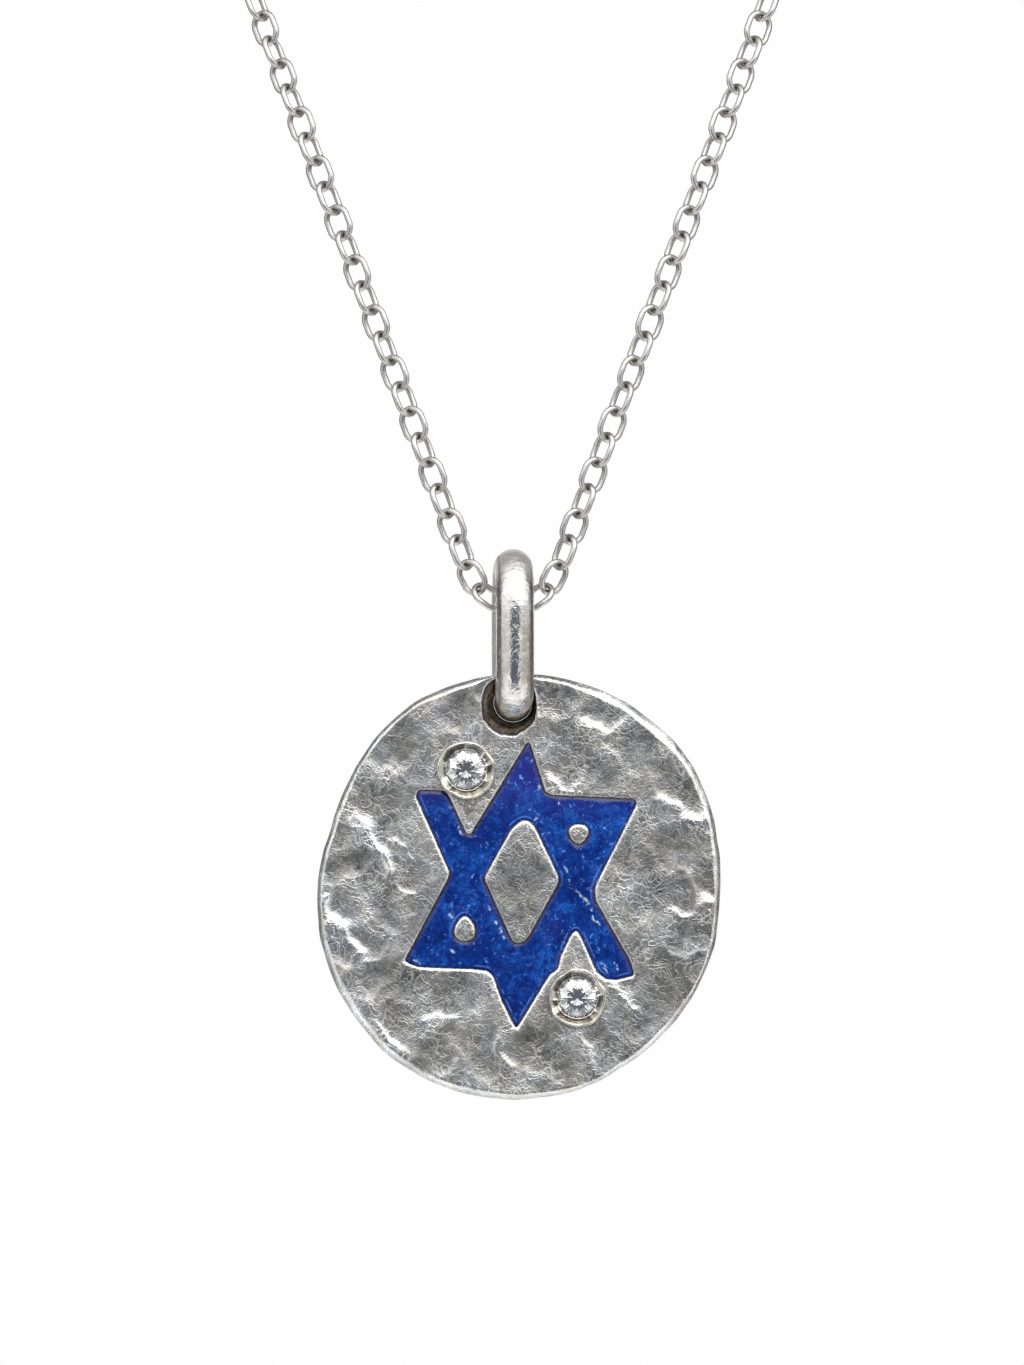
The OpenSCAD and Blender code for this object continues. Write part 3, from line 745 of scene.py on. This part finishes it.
def face_wear_light_and_shade(at, is_front):
    """Patina and wear of the sheet's faces, with painted light and shade. Hollows and the star's ground go
    grey, and the right side a little darker. Ridges and lines where blows meet are worn bright. The recess's
    edge is worn bright, with a painted highlight where the enamel lies above it and painted shade where the
    enamel lies below it."""
    edge = from_enamel(at)
    depth, meeting = struck(at)
    upwards = rise_to_enamel(at, edge)
    worn = np.maximum(np.clip(along_ridges(at, 2.3) / 0.1, 0, 0.75), 0.28 * meeting)
    # Painted highlight on the recess's edge: its wear is brighter where the enamel lies above it, and dimmer
    # where it lies below
    worn = np.maximum(worn, np.clip(0.48 + 0.75 * upwards, 0.06, 0.95) * bell(edge, 0.12, 0.1))
    patina_and_shade = np.clip(-depth / 0.14, 0, 1) + 0.25 * climb(at[:, 0], 4, 10)
    patina_and_shade += np.where(signed_distance(at, STAR) < 0, 0.45, 0)
    # Painted shade on the recess's edge where the enamel lies below it, and dark patina with painted shade on
    # its wall
    patina_and_shade += 0.8 * np.clip(-upwards, 0, 1) * bell(edge, 0, 0.14)
    patina_and_shade = np.where(edge < 0.03, 1.9, np.clip(patina_and_shade, 0, 1))
    return np.where(is_front, patina_and_shade, 0.5), np.where(is_front, worn, 0.1)


def silver_sheet():
    """The tag's sheet as one closed surface. Two flat nets are joined round the rim by its section, a
    straight side and a quarter ellipse, and through the hole by a lip, a flare that narrows to the round
    bore, and a cone that widens to the back."""
    turn, turn_h = even_angles(RIM_POINTS), even_angles(HOLE_POINTS)
    ray, ray_h = rays(turn), rays(turn_h)
    outline = outline_radius(turn)[:, None] * ray
    mouth = MOUTH_AT + mouth_radius(turn_h)[:, None] * ray_h
    bore, back_mouth = BORE_AT + BORE_R * ray_h, BORE_AT + BACK_MOUTH_R * ray_h
    wide = RIM_LEAST + RIM_MORE * np.cos(turn - math.radians(RIM_WIDEST)) ** 4 + waves(RIM_WORK, turn)
    inset = np.minimum(RIM_INSET * wide, LIP_SHARE * gap(outline, mouth))
    lip = np.minimum(HOLE_LIP * (1 + waves(LIP_WAVER, turn_h)), LIP_SHARE * gap(mouth, outline))
    back_lip = np.minimum(HOLE_LIP, LIP_SHARE * gap(back_mouth, outline))
    rim = outline - inset[:, None] * ray
    front_hole = mouth + lip[:, None] * ray_h
    back_hole = back_mouth + back_lip[:, None] * ray_h
    clear_front, clear_back = between(rim, MOUTH_AT, front_hole), between(rim, BORE_AT, back_hole)

    def clear_of_wall(points):
        edge = from_enamel(points)
        off_wall = (edge < WALL_AT[0] - WALL_CLEAR) | (edge > WALL_AT[-1] + WALL_CLEAR)
        return clear_front(points, NET_CLEAR * FRONT_STEP) & off_wall

    walls = [beside(STAR, d, True) for d in WALL_AT]
    walls += [beside(island, d, False) for island in ISLANDS for d in WALL_AT]
    inner = np.vstack([hex_points(FRONT_STEP, clear_of_wall), *walls])
    front, front_faces = flat_net([rim, front_hole], inner, clear_front)
    back_inner = hex_points(BACK_STEP, lambda points: clear_back(points, NET_CLEAR * BACK_STEP))
    back, back_faces = flat_net([rim, back_hole], back_inner, clear_back)
    front_z = front_height(front)
    back_z = -BACK_SHARE * relief(back * [-1, 1])
    of_hole = slice(RIM_POINTS, RIM_POINTS + HOLE_POINTS)

    low_lip = TAG_T - HOLE_DROP
    rim_rings = edge_rings(RIM_EDGE, rim, ray, inset, front_z[:RIM_POINTS], TAG_T - RIM_DROP)
    rim_rings.append(raised(outline, TAG_T / 2))
    rim_rings += edge_rings(ROLLED_EDGE, rim, ray, inset, back_z[:RIM_POINTS], RIM_DROP)[::-1]
    hole_rings = edge_rings(ROLLED_EDGE, front_hole, -ray_h, lip, front_z[of_hole], low_lip)
    for t in (0.25, 0.5, 0.75, 1):
        inwards = (bore - mouth) * t ** FLARE_POWER
        hole_rings.append(raised(mouth + inwards, low_lip + (BORE_TOP - low_lip) * t))
    hole_rings.append(raised(bore, BORE_LOW))
    hole_rings += edge_rings(ROLLED_EDGE, back_hole, -ray_h, back_lip, back_z[of_hole], HOLE_DROP)[::-1]

    flat = np.vstack([raised(front, front_z), *rim_rings, *hole_rings, raised(back, back_z)])
    rim_start = len(front)
    hole_start = rim_start + len(rim_rings) * RIM_POINTS
    back_start = hole_start + len(hole_rings) * HOLE_POINTS
    faces = [front_faces, (back_faces + back_start)[:, ::-1]]
    patina_and_shade, worn = face_wear_light_and_shade(flat[:, :2], flat[:, 2] > FRONT_FROM)
    uneven = 0.75 + 0.25 * np.sin(5 * turn + 2) * np.sin(17 * turn)
    for rings, count, first, start, patina_and_shade_rows, wears, share in (
        (rim_rings, RIM_POINTS, 0, rim_start, RIM_PATINA, RIM_WORN, uneven),
        (hole_rings, HOLE_POINTS, RIM_POINTS, hole_start, HOLE_SHADE, HOLE_WORN, 1),
    ):
        i = np.arange(count)
        loops = [first + i, *[start + k * count + i for k in range(len(rings))], back_start + first + i]
        for a, b in zip(loops, loops[1:]):
            quads = np.stack([a, b, np.roll(b, -1), np.roll(a, -1)], -1)
            faces.append(quads if first == 0 else quads[:, ::-1])
        for number, ring in enumerate(loops[1:-1]):
            patina_and_shade[ring] = np.interp(number, *patina_and_shade_rows)
            worn[ring] = np.interp(number, *wears) * share
    layers = {"patina_and_shade": patina_and_shade, "worn": worn}
    make_piece("silver_sheet", upright(*flat.T), faces, "tag", ["tag"], SILVER, layers)


def bezel(name, at, flats, seed):
    """A collar with a lip rubbed over its stone: a closed profile turned round it. The lip is worked into
    flats, each with its own tilt, and wavers as a sum of cosines of random heights and crests."""
    a = even_angles(BEZEL_STEPS)[:, None]
    rng = np.random.default_rng(seed)
    waver = np.zeros_like(a)
    for k in LIP_WAVES:
        waver += rng.normal(0, LIP_UNEVEN) * np.cos(k * a + rng.uniform(0, TURN))
    start, tilts = flats.T
    stop = np.append(start[1:], start[0] + 360)
    corners = np.stack([start + FLAT_CORNER, stop - FLAT_CORNER], -1).ravel()
    tilt = np.interp(np.degrees(a), corners, np.repeat(tilts, 2), period=360)
    r, z = BEZEL_PROFILE.T
    lip = climb(z, 0.32, 0.38) * climb(r, 1.72, 1.64)
    z = z + lip * tilt * (np.maximum(r, 1.36) - 1.66) + 1.1 * climb(z, 0.2, 0.4) * waver
    r = r + waver * climb(r, 1.22, 1.62)
    points = upright(at[0] + r * np.cos(a), at[1] + r * np.sin(a), TAG_T + z).reshape(-1, 3)
    # Painted shade on the lip: the patina grows with each flat's tilt, towards the upper left, and along the
    # bottom
    upper_left = bell(a, math.radians(138), math.radians(38))
    facing_shade = 0.5 - 0.3 * np.tanh(12 * tilt) + 0.25 * upper_left + 0.26 * np.clip(-np.sin(a), 0, 1)
    patina_and_shade = np.clip(np.interp(BEZEL_PROFILE[:, 0], *LIP_PATINA) * facing_shade, 0, 1)
    faces = [grid_faces(BEZEL_STEPS, len(BEZEL_PROFILE))]
    make_piece(name, points, faces, "tag", ["tag"], GOLD, {"patina_and_shade": patina_and_shade}, BEND_ANGLE)


def brilliant(name, at, turn):
    """Round brilliant of 57 facets. The kites are flat: their height falls evenly from table to girdle."""
    table_z, table_r, girdle_top, girdle_low, girdle_r = 0.765, 0.7, 0.39, 0.33, 1.25
    depth, crown_mid, pavilion_mid, near = 1.175, 1, 0.27, math.cos(math.pi / 8)
    crown_fall = (table_z - girdle_top) / (girdle_r - table_r)
    by_8, by_16 = rays(even_angles(8) + turn), rays(even_angles(16) + turn)
    half_way = rays(even_angles(8) + turn + TURN / 16)
    deep_z = girdle_low - (girdle_r - pavilion_mid * near) * depth / girdle_r
    flat = np.vstack([
        raised(table_r * by_8, table_z),
        raised(crown_mid * half_way, table_z - (crown_mid * near - table_r) * crown_fall),
        raised(girdle_r * by_16, girdle_top), raised(girdle_r * by_16, girdle_low),
        raised(pavilion_mid * half_way, deep_z), [[0, 0, girdle_low - depth]],
    ])
    table, mid, top, low, deep, culet = 0, 8, 16, 32, 48, np.full(8, 56)
    i, m = np.arange(8), np.arange(16)
    j, g, g1, g2 = (i + 1) % 8, 2 * i, 2 * i + 1, (2 * i + 2) % 16
    faces = [np.stack(corners, -1) for corners in (
        i[:, None], (table + i, mid + i, table + j), (table + j, mid + i, top + g2, mid + j),
        (mid + i, top + g, top + g1), (mid + i, top + g1, top + g2),
        (top + m, low + m, low + (m + 1) % 16, top + (m + 1) % 16),
        (deep + i, low + g1, low + g), (deep + i, low + g2, low + g1), (culet, deep + j, low + g2, deep + i),
    )]
    points = upright(at[0] + flat[:, 0], at[1] + flat[:, 1], TAG_T + flat[:, 2])
    make_piece(name, points, faces, "tag", [name], STONE, sharp_over=0)


def near_marks(points):
    """1 on a pale mark in the glass, falling away beside it. Small waves bend the marks' strokes."""
    bent = pushed(points, *MARK_BENDS)
    return np.max([bell(off_stroke(bent, row[:2], row[2:4]), 0, row[4]) for row in MARKS], axis=0)


def enamel_star():
    """Enamel in the recess: a flat net between the star and its islands. Its top is a slow wave that sinks
    towards its edges, its sides are upright, and its underside is flat."""
    loops = [evenly_along(loop, LOOP_STEP, closed=True) for loop in (STAR, *ISLANDS)]
    inner = hex_points(ENAMEL_STEP, lambda p: from_enamel(p) < -0.55 * ENAMEL_STEP)
    points, faces = flat_net(loops, inner, lambda p: from_enamel(p) < 0)
    distance, marks = from_enamel(points), near_marks(points)
    edge = np.maximum(-distance, 0)
    edge[: -len(inner)] = 0
    shade = np.clip(0.35 - 0.75 * rise_to_enamel(points, distance), 0, 1)
    sunk = ENAMEL_SUNK + EDGE_SUNK * np.exp(-((edge / 0.13) ** 1.4))
    z = TAG_T - sunk + waves(SWELL, *points.T) * np.clip(edge / 0.4, 0, 1) + 0.02 * marks
    count = len(points)
    flat = np.vstack([raised(points, z), raised(points, TAG_T + ENAMEL_FLOOR)])
    groups, start = [faces, faces[:, ::-1] + count], 0
    for number, loop in enumerate(loops):
        i = start + np.arange(len(loop))
        wall = np.stack([i, np.roll(i, -1), np.roll(i, -1) + count, i + count], -1)
        groups.append(wall[:, ::-1] if runs_left(loop) == (number == 0) else wall)
        start += len(loop)
    layers = {"edge": np.tile(edge, 2), "marks": np.tile(marks, 2), "shade": np.tile(shade, 2)}
    make_piece(
        "enamel", upright(*flat.T), groups, "tag", ["enamel_star"], ENAMEL, layers, BEND_ANGLE
    )


# Shapes of the bail and the chain


def oval_path(bend, straight, count):
    """Closed path of two half circles and two straights, as (sideways, up), and its outward rays."""
    a = even_angles(count, 0.5)
    out = rays(a)
    return bend * out + np.stack([0 * a, np.sign(np.sin(a)) * straight / 2], -1), out


def bail_ring():
    """Round wire along an oval path from front to back, with a radius that wavers. Its flanks are tarnished,
    its bottom inside the tag's hole has painted shade, its front is hazy below, and its top and rear are
    matt."""
    a = even_angles(BAIL_STEPS, 0.5)[:, None]
    path, out = oval_path((BAIL_DEPTH - BAIL_WIRE) / 2, BAIL_H - BAIL_DEPTH, BAIL_STEPS)
    section = rays(even_angles(BAIL_SIDES))
    wire = BAIL_WIRE / 2 * (1 + waves(WIRE_WAVER, a))
    away, side = wire * section[:, 0], wire * section[:, 1]
    depth, high = path[:, :1] + away * out[:, :1], path[:, 1:] + away * out[:, 1:]
    cos, sin = rays(math.radians(90 + BAIL_YAW))
    x, y = depth * cos - side * sin, depth * sin + side * cos
    points = np.stack([x, y, high + BAIL_MID], -1).reshape(-1, 3) + BAIL_AT

    from_side, on_left = np.abs(section[:, 1]), section[:, 1] > 0
    line_at = np.where(on_left, 0.8, 0.86) + 0.014 * np.sin(7 * a)
    flank = bell(from_side, line_at, 0.035) * np.where(on_left, 0.8, 1)
    flank += 0.16 * climb(from_side, 0.45, 0.75) * climb(from_side, 0.95, 0.9)
    start = np.where(on_left, 0.9, 2)
    haze = climb(from_side, 0.24, 0.36) * climb(high, start, start - 1.4) * climb(high, -3.6, -2.8)
    haze = haze * np.where(on_left, 0.4, 1.6) * (path[:, :1] < 0)
    share_up = high / (BAIL_H / 2)
    dull = climb(share_up, 0.62, 0.76) + 1.3 * climb(path[:, :1], 0, 1.2)
    # Painted shade: the ring's bottom, inside the tag's hole, goes brown and dark
    tarnish_and_shade = np.clip(flank + 0.3 * climb(share_up, -0.9, -0.98), 0, 1)
    faces, layers = [grid_faces(BAIL_STEPS, BAIL_SIDES)], {"tarnish_and_shade": tarnish_and_shade, "dull": dull, "haze": haze}
    make_piece("bail_ring", points, faces, "bail", ["bail"], BAIL_SILVER, layers)


def links(name, stands_for, middle, along, across, steps, sides):
    """Links as one piece: round wire along an oval path in each link's plane, with painted shade inside its
    bends, where the next link passes.
    """
    bend = (LINK_W - LINK_WIRE) / 2
    path, out = oval_path(bend, LINK_PITCH + LINK_WIRE - 2 * bend, steps)
    plane, normal = np.stack([across, along], 1), np.cross(along, across)[:, None, None]
    centre, away = middle[:, None] + path @ plane, out @ plane
    section = rays(even_angles(sides))
    wire = section[:, :1] * away[:, :, None] + section[:, 1:] * normal
    points = centre[:, :, None] + LINK_WIRE / 2 * wire + BAIL_AT
    inner = np.clip(-section[:, 0], 0, 1)
    # Painted shade inside each link's bends, where the next link passes through
    inside = np.clip(1.5 * np.abs(out[:, 1:]) * inner - 0.2, 0.35 * inner, 1)
    starts = np.arange(len(middle))[:, None, None] * steps * sides
    faces = [(grid_faces(steps, sides) + starts).reshape(-1, 4)]
    layers = {"tarnish_and_shade": np.tile(inside.ravel(), len(middle))}
    make_piece(name, points.reshape(-1, 3), faces, "root", stands_for, CHAIN_SILVER, layers)


def turned(along, degrees):
    """Across direction of a link: the sideways axis leaned with the link, then turned about it."""
    compass = np.arctan2(along[:, 1], along[:, 0])
    lean = np.arccos(np.clip(along[:, 2], -1, 1))[:, None]
    spin = (np.radians(degrees) - compass)[:, None]
    leaned = np.hstack([rays(compass) * np.cos(lean), -np.sin(lean)])
    return np.cos(spin) * leaned + np.sin(spin) * raised(rays(compass + TURN / 4), 0)


def front_ends():
    """Points where the front links meet on the right side, from the middle link upwards."""
    ends = [np.array([LINK_PITCH / 2, 0, 0])]
    for number in range(FRONT_LINKS):
        step = unit(np.array([SIDE_RUN, 2 * LEAN_BACK * ends[-1][2], 1]))
        if number < len(FIRST_RISES):
            rise = math.radians(FIRST_RISES[number])
            step = np.array([math.cos(rise), 0, math.sin(rise)])
        ends.append(ends[-1] + (LINK_PITCH - (0 if number else BEND_SLACK)) * step)
    return np.array(ends)


def back_way(ends, hold):
    """Points a link apart on the hidden way round the neck: a cubic curve from the last front link to the
    clasp, then straight on to where its wire is held."""
    last, heading = ends[-1], unit(ends[-1] - ends[-2])
    stop = np.array([CLASP_REACH + WAY_STOP, NAPE_BACK, NAPE_RISE])
    starts = last + WAY_START * heading, last + CHEST_PULL * heading
    stops = stop + [NAPE_PULL - WAY_STOP, 0, 0], stop
    t = np.linspace(0, 1, 1200)[:, None]
    curve = (1 - t) ** 3 * starts[0] + 3 * (1 - t) ** 2 * t * starts[1]
    curve = curve + 3 * (1 - t) * t ** 2 * stops[0] + t ** 3 * stops[1]
    return evenly_along(np.vstack([last, curve, [hold, NAPE_BACK, NAPE_RISE]]), LINK_PITCH, closed=False)


def back_frames(ends, first_across):
    """Middle, along and across of each hidden link. Across turns a quarter from link to link, on top of a
    slow turn from the front's angle to flat at the clasp."""
    middle, along = (ends[1:] + ends[:-1]) / 2, unit(np.diff(ends, axis=0))
    away = middle - NECK_MIDDLE
    out = unit(away - np.sum(away * along, axis=1, keepdims=True) * along)
    side = np.cross(along, out)
    number = np.arange(len(middle))
    start = math.atan2(first_across @ side[0], first_across @ out[0]) + math.pi / 2
    stop = math.atan2(side[-1][1], out[-1][1])
    quarter = number * math.pi / 2
    rest = (stop - quarter[-1] - start + math.pi / 2) % math.pi - math.pi / 2
    angle = start + quarter + rest * number / number[-1]
    return middle, along, np.cos(angle)[:, None] * out + np.sin(angle)[:, None] * side


def chain():
    """All the links of the loop, each passing through the next. The middle link comes first."""
    ends, flip, x_axis = front_ends(), np.array([-1, 1, 1]), np.array([[1, 0, 0]])
    rng = np.random.default_rng(SWAY_SEED)
    middle, along = (ends[1:] + ends[:-1]) / 2, unit(np.diff(ends, axis=0))
    turn = LINK_TURN + 90 * (np.arange(1, FRONT_LINKS + 1) % 2)
    front = [np.stack([0 * x_axis, x_axis, turned(x_axis, LINK_TURN)])]
    hidden = []
    for side, hold in ((1, RING_HOLD), (flip, EYE_HOLD)):
        across = turned(along, turn + rng.uniform(-SWAY, SWAY, FRONT_LINKS))
        front.append(np.stack([middle, along, across]) * side)
        hidden.append(np.stack(back_frames(back_way(ends, hold), across[-1])) * side)
    links("front_links", ["chain_front"], *np.concatenate(front, 1), steps=20, sides=8)
    links("back_links", ["chain_back"], *np.concatenate(hidden, 1), steps=12, sides=5)


silver_sheet()
bezel("upper_bezel", UPPER_SETTING, UPPER_FLATS, seed=3)
bezel("lower_bezel", LOWER_SETTING, LOWER_FLATS, seed=8)
brilliant("upper_stone", UPPER_SETTING, turn=0.2)
brilliant("lower_stone", LOWER_SETTING, turn=0.34)
enamel_star()
bail_ring()
chain()

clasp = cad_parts["clasp"]
clasp.data.materials.clear()
clasp.data.materials.append(CHAIN_SILVER)


def set_up(name, data, at, towards):
    """A camera or light in the scene, which looks along a direction."""
    thing = in_scene(name, data)
    thing.location = at
    thing.rotation_euler = towards.to_track_quat("-Z", "Y").to_euler()
    return thing


# Camera, at the photograph's angle: nearly square on, a little from the left, through a long lens
VIEW_MIDDLE = Vector((-0.0625, -118, -96.875)) * MM
VIEW_HEIGHT, DISTANCE, AZIMUTH = 85.3125 * MM, 1, math.radians(-0.7)
lens = bpy.data.cameras.new("camera")
lens.sensor_width = 36
lens.lens = lens.sensor_width * DISTANCE / VIEW_HEIGHT
lens.clip_start, lens.clip_end = 0.05, 30
back = Vector((math.sin(AZIMUTH), -math.cos(AZIMUTH), 0))
bpy.context.scene.camera = set_up("camera", lens, VIEW_MIDDLE + back * DISTANCE, -back)

# Pale floor, under the pendant and below the picture
FLOOR_Z, FLOOR_R, FLOOR_SIDES = -0.2, 0.13, 96
floor_rim = raised(FLOOR_R * rays(even_angles(FLOOR_SIDES)) - [0, 0.01], FLOOR_Z)
floor_mesh = bpy.data.meshes.new("floor")
floor_mesh.from_pydata(floor_rim.tolist(), [], [list(range(FLOOR_SIDES))])
pale = new_finish("pale_floor")
pale_tone = pale.mix(pale.noise(40), (0.92, 0.92, 0.915), (0.95, 0.95, 0.945))
floor_mesh.materials.append(pale.shaded({"Base Color": pale_tone, "Roughness": 0.8}))
in_scene("floor", floor_mesh)

# One large soft light, above and in front. Its brightness is its face's, where 1 is white paper.
LIGHT_AT, LIGHT_AIM = Vector((0.22, -0.6, 0.42)), Vector((0, -0.118, -0.105))
LIGHT_WIDTH, LIGHT_HEIGHT, BRIGHTNESS = 0.8, 0.6, 1.8
light = bpy.data.lights.new("light_above", "AREA")
light.shape, light.size, light.size_y = "RECTANGLE", LIGHT_WIDTH, LIGHT_HEIGHT
light.energy = BRIGHTNESS * math.pi * LIGHT_WIDTH * LIGHT_HEIGHT
set_up("light_above", light, LIGHT_AT, LIGHT_AIM - LIGHT_AT)

# The studio is white paper to the camera and a light tent to all else: brighter above, dark where the
# camera stands, grey behind the piece to its sides, and white right behind it
world = bpy.data.worlds.new("studio")
bpy.context.scene.world = world
sky = Nodes(world)
direction = sky.add("SeparateXYZ", {"Vector": sky.places["Generated"]})
across, forth, up = (direction.outputs[axis] for axis in "XYZ")
lit = sky.mix(sky.spread(up, -0.05, 0.35), (0.74, 0.74, 0.745), (1.25, 1.25, 1.25))
lit = sky.mix(sky.spread(up, -0.55, -0.3, 1, 0), lit, (1.25, 1.25, 1.25))
to_sides = sky.times(sky.spread(forth, 0.02, 0.26), sky.spread(forth, 0.78, 0.9, 1, 0))
lit = sky.mix(to_sides, lit, (0.17, 0.17, 0.175))
lit = sky.mix(sky.spread(forth, 0.82, 0.92), lit, (0.95, 0.95, 0.95))
window = sky.times(
    sky.spread(sky.maths("ABSOLUTE", across), 0.38, 0.54, 1, 0), sky.spread(up, -0.93, -0.7),
    sky.spread(up, 0.12, 0.3, 1, 0), sky.spread(forth, -0.4, -0.15, 1, 0),
)
tent = sky.add("Background", {"Color": sky.mix(window, lit, (0.125, 0.14, 0.165))})
paper = sky.add("Background", {"Color": (0.99, 0.99, 0.99)})
seen = sky.add("LightPath").outputs["Is Camera Ray"]
both = sky.add("MixShader", {0: seen, 1: tent.outputs[0], 2: paper.outputs[0]})
sky.fill(sky.tree.nodes["World Output"], {"Surface": both.outputs[0]})

scene = bpy.context.scene
scene.view_settings.view_transform = "Standard"
scene.view_settings.look = "None"
scene.cycles.use_denoising = True
